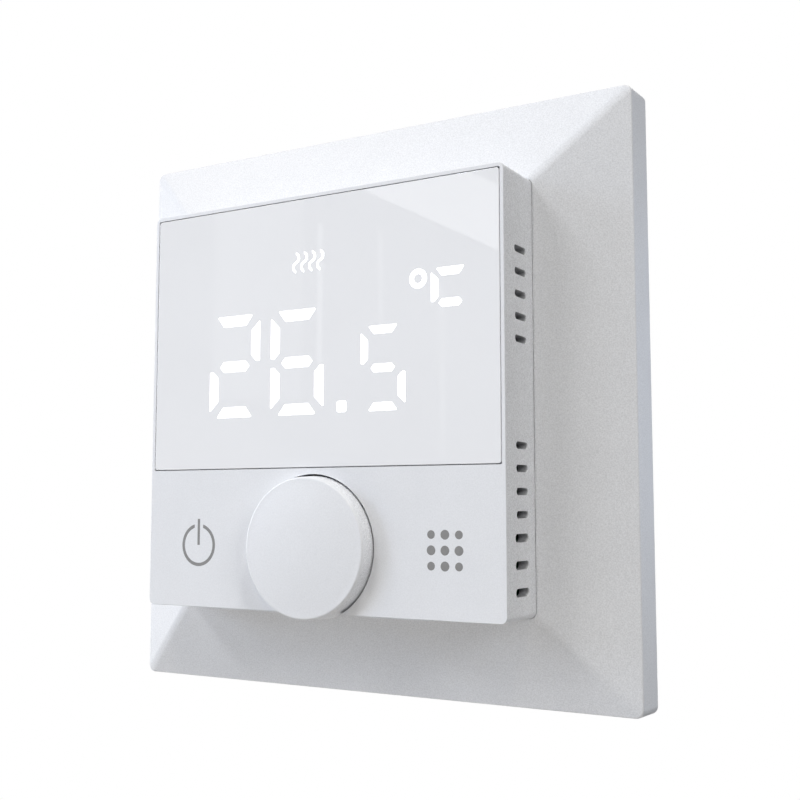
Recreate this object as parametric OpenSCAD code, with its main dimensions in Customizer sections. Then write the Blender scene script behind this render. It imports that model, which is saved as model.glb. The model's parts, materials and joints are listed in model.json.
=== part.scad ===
// Wall thermostat with a turn-and-press knob, in a single decorative frame above a 60 mm flush box.
// Millimetres. +Z is up, the front faces -Y and the plane y = 0 is the wall.
// The origin is on the wall plane, in the middle of the decorative frame.

/* [Decorative frame] */
// Outer side of the square frame, at the wall
frame_w = 80; // [79:0.5:84]
// Outer side at the front edge of the straight skirt
frame_front_w = 79.65; // [78.5:0.05:79.9]
// Depth of the straight skirt, from the wall
frame_skirt = 5.3; // [4.5:0.1:6]
// Depth of the rim around the head, from the wall
frame_rise = 10.1; // [9:0.1:11]
// Radius of the frame's outer corners
frame_corner_r = 1.05; // [0.5:0.05:3]
// Wall thickness of the frame
frame_wall = 1.8; // [1.2:0.1:2.2]
// Gap between the frame and the head
frame_gap = 0.08; // [0.05:0.01:0.4]

/* [Head] */
// Side of the square head
head_w = 55.8; // [55.2:0.1:56.2]
// Depth of the head's face, from the wall
head_depth = 18.6; // [18.4:0.1:20]
// Corner radius of the head
head_corner_r = 0.8; // [0.6:0.1:1.5]
// Rounding of the face's edge
head_edge_r = 0.1; // [0.1:0.05:0.4]
// Thickness of the head's side walls
head_wall = 1.4; // [1.2:0.1:1.6]
// Thickness of the head's front wall
face_wall = 1.6; // [1.4:0.1:1.8]
// Depth of the head's open back, from the wall
head_back = 4.0; // [3.9:0.1:4.3]

/* [Display lens] */
// Width of the lens
lens_w = 54.58; // [53:0.02:54.6]
// Lower edge of the lens, from the head's middle
lens_bottom = -8.93; // [-9:0.01:-8.3]
// Upper edge of the lens, from the head's middle
lens_top = 27.28; // [26.5:0.01:27.4]
// Thickness of the lens
lens_t = 1.0; // [0.8:0.1:1.0]
// Gap around the lens
lens_gap = 0.11; // [0.05:0.01:0.2]
// Corner radius of the lens
lens_corner_r = 0.4; // [0.2:0.1:0.8]
// Depth of the printed and lit inlays
inlay_t = 0.3; // [0.1:0.05:0.4]

/* [Knob] */
// Height of the knob's axis, from the head's middle
knob_z = -19.4; // [-20:0.05:-19]
// Radius of the knob at its base
knob_base_r = 9.4; // [8.8:0.05:9.45]
// Radius of the knob at its front edge
knob_front_r = 9.15; // [8.6:0.05:9.3]
// Rounding of the knob's front edge
knob_edge_r = 0.25; // [0.1:0.05:0.5]
// Rise of the middle of the knob above its edge
knob_crown = 0.45; // [0.1:0.05:0.6]
// How far the knob stands out of the face
knob_out = 2.15; // [1.8:0.05:2.8]
// Whole height of the knob
knob_h = 3.9; // [3.6:0.1:4.0]
// Radius of the well that the knob sits in
well_r = 9.57; // [9.5:0.01:9.8]
// How far the knob presses in
press_travel = 0.5; // [0.2:0.1:0.5]
// Radius of the encoder's shaft
shaft_r = 2.0; // [1.8:0.1:2.2]
// Radial clearance of the shaft in its bushing
shaft_clear = 0.05; // [0.02:0.01:0.1]

/* [Side vents] */
// Height of an upper slot
vent_h = 0.9; // [0.6:0.1:1.2]
// Height of a lower slot
low_vent_h = 1.05; // [0.6:0.05:1.3]
// Distance between two upper slots
vent_pitch = 2.82; // [2.7:0.02:2.9]
// Distance between two lower slots
low_vent_pitch = 3.28; // [3.1:0.01:3.35]

/* [Wall mount] */
// Side of the square carrier plate
plate_w = 71; // [70:1:72]
// Thickness of the carrier plate
plate_t = 1.2; // [1:0.1:1.2]
// Distance between the flush box's two screws
screw_spacing = 60; // [60:1:61]
// Half of the screw slot's width
slot_r = 1.75; // [1.6:0.05:2]
// End-to-end length of a screw slot
slot_len = 7; // [6:0.5:7]
// Width of the housing in the flush box
housing_w = 48.4; // [47:0.1:48.4]
// Height of the housing in the flush box
housing_h = 44.4; // [44:0.1:44.4]
// Depth of the housing behind the wall plane
housing_depth = 24; // [23:0.5:26]
// Number of wires that the terminal block takes
terminals = 5; // [3:1:5]
// Radius of a wire entry
wire_r = 1.75; // [1.5:0.05:1.75]

/* [Hidden] */
$fn = 64;
hull_fn = 32;
eps = 0.01;

// Depths, as y: minus is out of the wall.
face_y = -head_depth;
lens_back_y = face_y + lens_t;
face_inner_y = face_y + face_wall;
board_front_y = -10.6;
board_t = 1.6;
board_back_y = board_front_y + board_t;
knob_front_y = face_y - knob_out;
knob_base_y = knob_front_y + knob_h;
well_floor_y = -16.2;
well_floor_t = 0.8;
bushing_plate_y = well_floor_y + well_floor_t + 0.1;
bushing_plate_t = 0.5;
bushing_front_y = -17.2;
encoder_front_y = bushing_plate_y + bushing_plate_t;
encoder_floor_y = -11.4;
rear_cover_t = 1.2;
lid_t = 1.2;
flange_t = 1.2;
lid_back_y = -plate_t - flange_t;
lid_front_y = lid_back_y - lid_t;
socket_h = 8.5;
power_board_y = lid_front_y + socket_h;
power_board_back_y = power_board_y + board_t;

// The head and the frame
opening_w = head_w + 2 * frame_gap;
rim_w = opening_w + 0.5;
collar_w = opening_w + 2 * 1.6;
cavity_w = frame_front_w - 2 * frame_wall;
slope = (frame_rise - frame_skirt) / ((frame_front_w - rim_w) / 2);
slope_wall = frame_wall * sqrt(1 + slope * slope);
head_inner_w = head_w - 2 * head_wall;
lens_h = lens_top - lens_bottom;
lens_z = (lens_top + lens_bottom) / 2;
window_w = 50.8;
window_h = 32.4;
window_z = 9.35;
board_w = 52;
mask_screw_places = [[-22.6, 21.6], [22.6, 21.6], [-22.6, -4], [22.6, -4]];

// Touch marks: power sign on the left, square of nine dots on the right
power_x = -19.02;
dots_x = 19.67;
marks_z = -19.41;
dot_pitch = 1.92;

// Lit symbols: centre, half width, half height, bar thickness, end inset and middle gap of each
big_digit = [4.32, 7.08, 1.48, 1.24, 0.6];
small_digit = [3.31, 5.5, 1.08, 1.11, 0.6];
degree_letter = [2.72, 4.48, 1.05, 0.68, 0.2];
tens_at = [-13.1, 5.17];
ones_at = [-2.6, 5.15];
tenths_at = [10.8, 3.58];
letter_at = [20.56, 11.18];
point_at = [4.56, -1.13];
degree_at = [15.99, 14.56];
waves_at = [-0.89, 18.65];

// Pin header between the head and the wall unit
pin_pitch = 2.54;
pin_columns = 5;
pin_rows = 2;
pin_w = 0.64;
header_z = 14;
pin_places = [for (i = [0 : pin_columns - 1], j = [0 : pin_rows - 1])
    [(i - (pin_columns - 1) / 2) * pin_pitch, header_z + (j - (pin_rows - 1) / 2) * pin_pitch]];
hook_x = 20;

// Encoder and click switch
encoder_w = 12;
flat_at = 1.5;
dome_h = 0.5;
shaft_tail_y = encoder_floor_y - dome_h - press_travel - 0.1;
rotor_y = -12.9;

// Components on the back of the display board: centre in x and z
microcontroller_at = [-4, -4];
radio_at = [13.5, -2];
buzzer_at = [-17, 2];
battery_at = [-15, -14.5];
sensor_at = [24.2, -22.6];

// Components on the power board: centre in x and z, and width, height and depth or radius and depth
relay_at = [-15.6, 1];
relay_size = [10, 19, 14];
transformer_at = [-1.5, 11.5];
transformer_size = [13, 12, 12];
safety_capacitor_at = [14.5, 2];
safety_capacitor_size = [13, 6, 11];
filter_capacitor_at = [12.5, 12];
filter_capacitor_size = [5, 12.5];
varistor_at = [-8.6, -4.4];
varistor_size = [4.4, 3];
fuse_at = [-1, -5.2];
fuse_size = [4, 8];
choke_at = [12, -6.2];
choke_size = [4, 9];

// Terminal block: one pole for each wire
terminal_pitch = 5;
pole_gap = 0.1;
pole_w = terminal_pitch - pole_gap;
terminal_w = terminals * terminal_pitch - pole_gap;
terminal_top = -13.4;
terminal_h = housing_h / 2 + terminal_top;
terminal_front_y = 8.6;
terminal_back_y = housing_depth - 0.4;
wire_z = -17;
wire_guide = 4;
terminal_screw_y = terminal_back_y - 6.5;
lid_screw_places = [[-19, -19], [19, -19], [-19, 19], [19, 19]];

function arc(c, r, from, to, n) =
    [for (i = [0 : n]) let (a = from + (to - from) * i / n) [c[0] + r * cos(a), c[1] + r * sin(a)]];

// ---------------------------------------------------------------- drawing helpers

// Extrudes a flat outline, drawn in x and z, from y_back towards the front
module towards_front(y_back, depth) {
    translate([0, y_back, 0]) rotate([90, 0, 0]) linear_extrude(depth) children();
}

// Places a solid built along +Z so that it stands on y_back at (x, z) and points to the front
module standing_at(x, y_back, z) {
    translate([x, y_back, z]) rotate([90, 0, 0]) children();
}

// Box from y_back towards the front, centred on (x, z)
module block(x, z, w, h, y_back, depth) {
    translate([x - w / 2, y_back - depth, z - h / 2]) cube([w, depth, h]);
}

module rounded_square(w, h, r) {
    square([w - 2 * r, h], center = true);
    square([w, h - 2 * r], center = true);
    for (x = [-1, 1], z = [-1, 1]) translate([x * (w / 2 - r), z * (h / 2 - r)]) circle(r);
}

module chamfered_square(w, h, c) {
    polygon([
        [-w / 2 + c, -h / 2], [w / 2 - c, -h / 2], [w / 2, -h / 2 + c], [w / 2, h / 2 - c],
        [w / 2 - c, h / 2], [-w / 2 + c, h / 2], [-w / 2, h / 2 - c], [-w / 2, -h / 2 + c]
    ]);
}

module slot_outline(length, width) {
    square([length - width, width], center = true);
    for (s = [-1, 1]) translate([s * (length - width) / 2, 0]) circle(width / 2);
}

// Thin square slab at depth y, for a hull
module slab(w, r, y) {
    towards_front(y, eps) rounded_square(w, w, r, $fn = hull_fn);
}

// Wire of radius wire_r wound on a radius coil_r around the y axis, from y_back to y_front
module coil(coil_r, wire_r, turns, y_back, y_front) {
    sides = 8;
    rings = turns * 16;
    function centre(i) = let (a = 360 * turns * i / rings, t = i / rings)
        [coil_r * cos(a), y_back + (y_front - y_back) * t, coil_r * sin(a)];
    function ring(i) = let (a = 360 * turns * i / rings)
        [for (k = [0 : sides - 1]) let (b = 360 * k / sides)
            centre(i) + wire_r * [cos(b) * cos(a), sin(b), cos(b) * sin(a)]];
    points = [for (i = [0 : rings]) each ring(i)];
    faces = concat(
        [[for (k = [0 : sides - 1]) k]],
        [for (i = [0 : rings - 1], k = [0 : sides - 1])
            let (a = i * sides + k, b = i * sides + (k + 1) % sides) [b, a, a + sides, b + sides]],
        [[for (k = [sides - 1 : -1 : 0]) rings * sides + k]]
    );
    polyhedron(points, faces, convexity = 10);
}

// ---------------------------------------------------------------- lit symbols

// One seven-bar figure. lit names its bars: a top, b and c right, d bottom, e and f left, g middle.
module seven_bar(spec, lit) {
    w = spec[0];
    h = spec[1];
    t = spec[2];
    inset = spec[3];
    mid = spec[4];
    flat_x = w - inset;
    bevel = 0.79 * t;
    side_top = h - 0.83 * inset;
    bar_half = w - inset - 0.36 * t;
    for (s = [["a", 1], ["d", -1]]) if (len(search(s[0], lit)) > 0) scale([1, s[1]])
        polygon([[-flat_x, h], [flat_x, h], [flat_x - bevel, h - t], [bevel - flat_x, h - t]]);
    for (s = [["b", 1, 1], ["c", 1, -1], ["e", -1, -1], ["f", -1, 1]])
        if (len(search(s[0], lit)) > 0) scale([s[1], s[2]]) polygon([
            [w, mid + 0.1], [w, side_top], [w - 0.12 * t, side_top], [w - t, side_top - 0.84 * t],
            [w - t, mid + 0.58 * t], [w - 0.42 * t, mid], [w - 0.1, mid]
        ]);
    if (len(search("g", lit)) > 0) polygon([
        [-bar_half, 0], [-bar_half + 0.45 * t, t / 2], [bar_half - 0.45 * t, t / 2],
        [bar_half, 0], [bar_half - 0.45 * t, -t / 2], [-bar_half + 0.45 * t, -t / 2]
    ]);
}

// One wave of the heating sign, as a band of constant width along a sine
module heat_wave() {
    height = 2.96;
    swing = 0.5;
    half_width = 0.25;
    steps = 16;
    function middle(i) = [swing * sin(360 * i / steps), height / 2 - height * i / steps];
    function across(i) = let (d = [swing * 2 * PI / height * cos(360 * i / steps), -1])
        half_width * [-d[1], d[0]] / norm(d);
    polygon(concat(
        [for (i = [0 : steps]) middle(i) + across(i)],
        [for (i = [steps : -1 : 0]) middle(i) - across(i)]
    ));
}

module degree_ring() {
    difference() {
        circle(1.26);
        circle(0.6);
    }
}

module lit_symbols(tens, ones, tenths) {
    translate(tens_at) seven_bar(big_digit, tens);
    translate(ones_at) seven_bar(big_digit, ones);
    translate(tenths_at) seven_bar(small_digit, tenths);
    translate(letter_at) seven_bar(degree_letter, "afg");
    translate(point_at) rounded_square(1.46, 1.46, 0.25);
    translate(degree_at) degree_ring();
    for (i = [0 : 3]) translate([waves_at[0] + (i - 1.5) * 1.31, waves_at[1]]) heat_wave();
}

// ---------------------------------------------------------------- touch marks

module power_sign() {
    ring_r = 2.92;
    stroke = 0.45;
    difference() {
        circle(ring_r);
        circle(ring_r - stroke);
        translate([-0.75, 0]) square([1.5, ring_r + 1]);
    }
    translate([0, 1.8]) square([0.42, 3.6], center = true);
}

module nine_dots() {
    for (x = [-1 : 1], z = [-1 : 1])
        translate([x, z] * dot_pitch) circle(abs(x) + abs(z) == 2 ? 0.53 : 0.6);
}

module touch_marks() {
    translate([power_x, marks_z]) power_sign();
    translate([dots_x, marks_z]) nine_dots();
}

// ---------------------------------------------------------------- decorative frame

module wall_frame() {
    screw_head_w = 9;
    color([0.94, 0.95, 0.97])
    difference() {
        hull() {
            slab(frame_w, frame_corner_r, 0);
            slab(frame_front_w, frame_corner_r, -frame_skirt + eps);
            slab(rim_w, head_corner_r, -frame_rise + eps);
        }
        difference() {
            frame_cavity();
            towards_front(-plate_t - 0.6, frame_rise) square(collar_w, center = true);
        }
        towards_front(1, frame_rise + 2) rounded_square(opening_w, opening_w, head_corner_r + frame_gap);
        // room in the collar for the heads of the box screws
        for (a = [0, 90]) rotate([0, a, 0])
            block(0, 0, collar_w + 1, screw_head_w, 0.5, 6);
    }
}

// The hollow under the slopes, parallel to them
module frame_cavity() {
    cavity_top = frame_skirt + slope * frame_wall - slope_wall;
    inner_top = cavity_top + slope * (cavity_w - collar_w) / 2;
    hull() {
        slab(cavity_w, 0.5, eps);
        slab(cavity_w, 0.5, -cavity_top);
        slab(collar_w, 0.5, -inner_top);
    }
}

// ---------------------------------------------------------------- wall unit

module carrier_plate() {
    cutout_gap = 0.3;
    color([0.72, 0.73, 0.75])
    towards_front(0, plate_t) difference() {
        rounded_square(plate_w, plate_w, 3);
        chamfered_square(housing_w + 2 * cutout_gap, housing_h + 2 * cutout_gap, 8);
        for (a = [0 : 90 : 270]) rotate(a)
            translate([screw_spacing / 2, 0]) slot_outline(slot_len, 2 * slot_r);
    }
}

// Four sprung strips on the plate that grip the frame's collar
module frame_clips() {
    strip_w = 6;
    strip_t = 0.3;
    foot = 3.4;
    color([0.8, 0.81, 0.83])
    for (side = [-1, 1], z = [-17, 17]) {
        x0 = side * (collar_w / 2 + strip_t / 2);
        block(x0, z, strip_t, strip_w, -plate_t, 4.2);
        block(x0 + side * foot / 2, z, foot, strip_w, -plate_t, strip_t);
    }
}

module power_housing() {
    wall = 1.4;
    floor_t = 1.6;
    notch_wall = 1.2;
    hook_out = 1.2;
    color([0.9, 0.9, 0.88])
    difference() {
        union() {
            towards_front(housing_depth, housing_depth + plate_t)
                chamfered_square(housing_w, housing_h, 8);
            towards_front(-plate_t, flange_t) chamfered_square(51, 51, 8);
            // snap hooks behind the plate
            for (side = [-1, 1]) {
                block(side * (housing_w / 2 + hook_out / 2 - 0.2), 0, hook_out + 0.4, 5, 1.6, 1.5);
                block(0, side * (housing_h / 2 + hook_out / 2 - 0.2), 5, hook_out + 0.4, 1.6, 1.5);
            }
        }
        difference() {
            towards_front(housing_depth - floor_t, housing_depth + 10)
                chamfered_square(housing_w - 2 * wall, housing_h - 2 * wall, 7.2);
            // walls around the terminal block
            terminal_space(notch_wall);
            // ledges that carry the power board
            for (side = [-1, 1])
                block(side * (housing_w / 2 - wall - 0.7), 0, 1.4, 18, power_board_back_y + 2.4, 2.4);
        }
        terminal_space(0);
    }
}

function terminal_x(i) = (i - (terminals - 1) / 2) * terminal_pitch;

// Space of the terminal block in the housing's lower rear corner, grown by a margin
module terminal_space(margin) {
    block(0, -housing_h / 2 + terminal_h / 2 - 1, terminal_w + 0.4 + 2 * margin,
        terminal_h + 2.2 + 2 * margin, housing_depth + 2, housing_depth + 2 - terminal_front_y + margin);
}

module base_lid() {
    color([0.9, 0.9, 0.88])
    towards_front(lid_back_y, lid_t) difference() {
        chamfered_square(50, 50, 7.6);
        translate([0, header_z]) square([pin_columns * pin_pitch + 0.5, pin_rows * pin_pitch + 0.5],
            center = true);
        for (side = [-1, 1]) translate([side * hook_x, 0]) square([2.0, 5.0], center = true);
        for (p = lid_screw_places) translate(p) circle(1.0);
    }
}

module lid_screws() {
    color([0.75, 0.76, 0.78])
    for (p = lid_screw_places) difference() {
        standing_at(p[0], lid_back_y, p[1]) cylinder(h = lid_t, r = 1.0);
        cross_recess(p[0], p[1], lid_front_y, 1.3);
    }
}

// Cross recess in a screw head whose top is at y_top
module cross_recess(x, z, y_top, size) {
    for (a = [0, 90]) translate([x, y_top, z]) rotate([0, a, 0])
        cube([size, 1.0, size / 4], center = true);
}

module socket_strip() {
    w = pin_columns * pin_pitch;
    h = pin_rows * pin_pitch;
    hole = 0.9;
    color([0.13, 0.13, 0.14])
    difference() {
        block(0, header_z, w, h, power_board_y, socket_h);
        for (p = pin_places) block(p[0], p[1], hole, hole, power_board_y - 0.5, socket_h);
    }
}

module power_board() {
    color([0.1, 0.42, 0.22])
    towards_front(power_board_back_y, board_t) chamfered_square(44.8, 40.8, 7.2);
}

// Box-shaped component that stands on the back of the power board
module boxed(at, size) {
    block(at[0], at[1], size[0], size[1], power_board_back_y + size[2], size[2]);
}

// Places a round component, built along +Z, on the back of the power board
module round_on_power_board(at) {
    translate([at[0], power_board_back_y, at[1]]) rotate([-90, 0, 0]) children();
}

module relay() {
    color([0.16, 0.16, 0.18])
    difference() {
        boxed(relay_at, relay_size);
        block(relay_at[0], relay_at[1], 7, 3, power_board_back_y + relay_size[2] + 1, 1.4);
    }
}

module transformer() {
    coil_former_w = 1;
    color([0.85, 0.75, 0.2]) boxed(transformer_at, transformer_size);
    color([0.3, 0.3, 0.32]) for (side = [-1, 1])
        block(transformer_at[0] + side * (transformer_size[0] + coil_former_w) / 2, transformer_at[1],
            coil_former_w, transformer_size[1], power_board_back_y + transformer_size[2] - 1,
            transformer_size[2] - 3);
}

module filter_capacitor() {
    r = filter_capacitor_size[0];
    h = filter_capacitor_size[1];
    groove = 0.3;
    color([0.12, 0.14, 0.3])
    round_on_power_board(filter_capacitor_at) rotate_extrude() polygon([
        [0, 0], [r, 0], [r, 1], [r - groove, 1.3], [r - groove, 1.9], [r, 2.2], [r, h - 0.5],
        [r - 0.6, h], [0, h]
    ]);
}

module safety_capacitor() {
    color([0.9, 0.75, 0.1]) boxed(safety_capacitor_at, safety_capacitor_size);
}

// Disc that stands on its edge
module varistor() {
    lead_h = 0.4;
    color([0.1, 0.3, 0.6])
    translate([varistor_at[0], power_board_back_y + lead_h + varistor_size[0], varistor_at[1]])
        rotate([0, 90, 0]) cylinder(h = varistor_size[1], r = varistor_size[0], center = true);
}

module fuse() {
    color([0.55, 0.2, 0.15])
    round_on_power_board(fuse_at) cylinder(h = fuse_size[1], r = fuse_size[0]);
}

module choke() {
    r = choke_size[0];
    h = choke_size[1];
    winding_r = r - 0.8;
    color([0.2, 0.2, 0.22])
    round_on_power_board(choke_at) rotate_extrude() polygon([
        [0, 0], [r, 0], [r, 1], [winding_r, 1.2], [winding_r, h - 1.2], [r, h - 1], [r, h], [0, h]
    ]);
}

// Poles that stand side by side, each with its own wire entry, clamp chamber and screw shaft
module terminal_block() {
    chamber_w = 4;
    chamber_h = 5.5;
    chamber_depth = 7;
    color([0.2, 0.45, 0.3])
    for (i = [0 : terminals - 1]) difference() {
        block(terminal_x(i), terminal_top - terminal_h / 2, pole_w, terminal_h, terminal_back_y,
            terminal_back_y - terminal_front_y - 0.2);
        translate([terminal_x(i), terminal_back_y - wire_guide, wire_z]) rotate([-90, 0, 0])
            cylinder(h = wire_guide + 1, r = wire_r);
        block(terminal_x(i), wire_z, chamber_w, chamber_h, terminal_back_y - wire_guide, chamber_depth);
        translate([terminal_x(i), terminal_screw_y, -housing_h / 2 - 1]) cylinder(h = 4, r = 1.9);
    }
}

module terminal_screws() {
    head_h = 1.5;
    length = 3.2;
    color([0.8, 0.8, 0.82])
    for (i = [0 : terminals - 1]) translate([terminal_x(i), terminal_screw_y, -housing_h / 2 + 0.3])
        difference() {
            union() {
                cylinder(h = head_h, r = 1.8);
                cylinder(h = length, r = 1.2);
            }
            translate([0, 0, 0.2]) cube([4, 0.6, 1.0], center = true);
        }
}

// Square brass tubes that the screws pull onto the wires
module terminal_clamps() {
    clamp_w = 3.8;
    clamp_h = 4.2;
    clamp_wall = 0.3;
    color([0.85, 0.75, 0.45])
    for (i = [0 : terminals - 1]) difference() {
        block(terminal_x(i), wire_z + 0.2, clamp_w, clamp_h, terminal_back_y - 4.3, 4.4);
        block(terminal_x(i), wire_z + 0.2, clamp_w - 2 * clamp_wall, clamp_h - 2 * clamp_wall,
            terminal_back_y - 3.3, 6.4);
        translate([terminal_x(i), terminal_screw_y, -housing_h / 2]) cylinder(h = 5, r = 1.3);
    }
}

// ---------------------------------------------------------------- head: cover and lens

module head_shell() {
    half_edge = head_edge_r * (1 - cos(45));
    hull() {
        slab(head_w, head_corner_r, -head_back);
        slab(head_w, head_corner_r, face_y + head_edge_r);
        slab(head_w - 2 * half_edge, head_corner_r - half_edge, face_y + half_edge + eps);
        slab(head_w - 2 * head_edge_r, head_corner_r - head_edge_r, face_y + eps);
    }
}

// Round cup that the knob sits in, open to the front
module knob_well_outside() {
    below = 10;
    difference() {
        standing_at(0, well_floor_y + well_floor_t, knob_z)
            cylinder(h = well_floor_y + well_floor_t - face_inner_y + 0.4, r = well_r + 1);
        block(0, -(head_w - head_wall + below) / 2, 3 * well_r, below, 0, 2 * head_depth);
    }
}

module side_vents() {
    upper = [for (i = [0 : 4]) 17.83 - i * vent_pitch];
    middle = [for (i = [0 : 3]) -6.61 - i * vent_pitch];
    lower = [for (i = [0 : 2]) -17.89 - i * low_vent_pitch];
    for (side = [-1, 1]) translate([side * (head_w / 2 - head_wall / 2), 0, 0]) {
        for (z = concat(upper, middle)) vent(-13.83, z, 3.4, vent_h);
        for (z = lower) vent(-14.02, z, 3.9, low_vent_h);
    }
}

// A slot through a side wall, centred on (y, z)
module vent(y, z, length, height) {
    translate([0, y, z]) rotate([90, 0, 90]) linear_extrude(head_wall + 1, center = true)
        slot_outline(length, height);
}

module front_cover() {
    bottom_strip_w = 35.4;
    bottom_strip_out = 0.12;
    snap_w = 6;
    color([0.93, 0.94, 0.96])
    difference() {
        union() {
            difference() {
                head_shell();
                towards_front(0, head_depth - face_wall) rounded_square(head_inner_w, head_inner_w, 0.6);
            }
            knob_well_outside();
            block(0, -head_w / 2 - bottom_strip_out / 2 + 0.25, bottom_strip_w, bottom_strip_out + 0.5,
                -11, head_depth - 11 - 2 * head_edge_r);
        }
        // recess and window of the lens
        translate([0, 0, lens_z]) towards_front(lens_back_y, lens_t + 1)
            rounded_square(lens_w + 2 * lens_gap, lens_h + 2 * lens_gap, lens_corner_r / 2);
        translate([0, 0, window_z]) towards_front(face_inner_y + 1, face_wall + 1)
            rounded_square(window_w, window_h, 0.5);
        // well and bushing hole
        standing_at(0, well_floor_y, knob_z) cylinder(h = 6, r = well_r);
        standing_at(0, well_floor_y + 2, knob_z) cylinder(h = 6, r = 3.3);
        side_vents();
        towards_front(face_y + inlay_t, inlay_t + 1) touch_marks();
        // windows for the rear cover's snap tabs
        for (a = [0 : 90 : 270]) rotate([0, a, 0])
            block(head_w / 2, 0, 2 * head_wall + 1, snap_w + 0.4, -head_back - 0.3, 0.9);
    }
}

module display_lens() {
    color([0.95, 0.95, 0.98])
    difference() {
        translate([0, 0, lens_z]) towards_front(lens_back_y, lens_t)
            rounded_square(lens_w, lens_h, lens_corner_r);
        towards_front(face_y + inlay_t, inlay_t + 1) lit_symbols("abged", "afgecd", "afgcd");
    }
}

module display_segments() {
    color("white") towards_front(face_y + inlay_t, inlay_t) lit_symbols("abged", "afgecd", "afgcd");
}

module touch_icons() {
    color([0.55, 0.55, 0.55]) towards_front(face_y + inlay_t, inlay_t) touch_marks();
}

// ---------------------------------------------------------------- head: display

module diffuser_film() {
    film_t = 0.1;
    color([0.97, 0.97, 0.97]) translate([0, 0, window_z])
        towards_front(lens_back_y + film_t, film_t) square([window_w - 0.6, window_h - 0.6], center = true);
}

// Light cells: one for each bar of the figures, lit or not
module light_mask() {
    mask_front_y = lens_back_y + 0.15;
    color([0.92, 0.92, 0.92])
    difference() {
        translate([0, 0, window_z]) towards_front(board_front_y, board_front_y - mask_front_y)
            square([window_w - 0.6, window_h - 0.6], center = true);
        towards_front(board_front_y + 1, 10) {
            translate(tens_at) seven_bar(big_digit, "abcdefg");
            translate(ones_at) seven_bar(big_digit, "abcdefg");
            translate(tenths_at) seven_bar(small_digit, "abcdefg");
            translate(letter_at) seven_bar(degree_letter, "afg");
            translate(point_at) square(1.46, center = true);
            translate(degree_at) circle(1.26);
            translate(waves_at) square([5.4, 3.4], center = true);
        }
        for (p = mask_screw_places) standing_at(p[0], board_front_y + 1, p[1]) cylinder(h = 5, r = 0.8);
    }
}

// Centres of the bars of one figure, and of their light sources
function bar_places(at, spec) = let (w = spec[0] - spec[2] / 2, h = spec[1] - spec[2] / 2)
    [for (p = [[0, h], [0, 0], [0, -h], [w, h / 2], [w, -h / 2], [-w, h / 2], [-w, -h / 2]]) at + p];

led_places = concat(
    bar_places(tens_at, big_digit), bar_places(ones_at, big_digit), bar_places(tenths_at, small_digit),
    [point_at, degree_at, letter_at, letter_at + [0, 3.95], letter_at + [-2.2, 2],
        waves_at - [1.3, 0], waves_at + [1.3, 0]]
);

module segment_leds() {
    color([0.98, 0.95, 0.75])
    for (p = led_places) block(p[0], p[1], 0.8, 0.8, board_front_y, 0.6);
}

module display_board() {
    color([0.08, 0.36, 0.2])
    towards_front(board_back_y, board_t) difference() {
        rounded_square(board_w, board_w, 1);
        for (p = mask_screw_places) translate(p) circle(1.0);
    }
}

module mask_screws() {
    color([0.75, 0.76, 0.78])
    for (p = mask_screw_places) difference() {
        union() {
            standing_at(p[0], board_back_y + 1, p[1]) cylinder(h = 1, r = 1.6);
            standing_at(p[0], board_back_y, p[1]) cylinder(h = board_t + 3, r = 0.8);
        }
        cross_recess(p[0], p[1], board_back_y + 1, 1.6);
    }
}

module microcontroller() {
    side = 10;
    leads = 8;
    lead_pitch = 1;
    lead_w = 0.4;
    lead_l = 1.2;
    x = microcontroller_at[0];
    z = microcontroller_at[1];
    color([0.12, 0.12, 0.13]) block(x, z, side, side, board_back_y + 1.4, 1.3);
    color([0.8, 0.8, 0.8])
    for (i = [0 : leads - 1], s = [-1, 1]) {
        step = (i - (leads - 1) / 2) * lead_pitch;
        block(x + s * (side / 2 + 0.5), z + step, lead_l, lead_w, board_back_y + 0.6, 0.6);
        block(x + step, z + s * (side / 2 + 0.5), lead_w, lead_l, board_back_y + 0.6, 0.6);
    }
}

// Small board with a shield can, soldered on the display board
module radio_module() {
    radio_board_t = 0.8;
    can_t = 1.8;
    color([0.1, 0.2, 0.45])
        block(radio_at[0], radio_at[1], 13, 18, board_back_y + radio_board_t, radio_board_t);
    color([0.82, 0.83, 0.85])
        block(radio_at[0], radio_at[1] - 2, 11, 11.5, board_back_y + radio_board_t + can_t, can_t);
}

// Bead on two wires behind the lower side vents
module temperature_sensor() {
    bead_r = 1.2;
    wire_l = 2.4;
    color([0.15, 0.12, 0.1]) {
        translate([sensor_at[0], board_front_y - wire_l - bead_r / 2, sensor_at[1]]) sphere(bead_r);
        for (s = [-1, 1]) standing_at(sensor_at[0] + 0.6 * s, board_front_y, sensor_at[1])
            cylinder(h = wire_l, r = 0.2);
    }
}

module buzzer() {
    color([0.1, 0.1, 0.11])
    translate([buzzer_at[0], board_back_y, buzzer_at[1]]) rotate([-90, 0, 0]) difference() {
        cylinder(h = 3, r = 4.5);
        translate([0, 0, 2]) cylinder(h = 2, r = 0.8);
    }
}

module clock_battery() {
    r = 6.25;
    rim_r = 5.4;
    color([0.8, 0.81, 0.83])
    translate([battery_at[0], board_back_y, battery_at[1]]) rotate([-90, 0, 0]) rotate_extrude()
        polygon([[0, 0], [rim_r, 0], [rim_r, 0.4], [r, 0.6], [r, 2.5], [0, 2.5]]);
}

module touch_spring(x) {
    wire = 0.3;
    color([0.85, 0.75, 0.4]) translate([x, 0, marks_z])
        coil(2.3, wire, 5, board_front_y - wire - 0.02, face_inner_y + wire + 0.02);
}

module touch_spring_power() {
    touch_spring(power_x);
}

module touch_spring_menu() {
    touch_spring(dots_x);
}

// ---------------------------------------------------------------- head: encoder and switch

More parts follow.
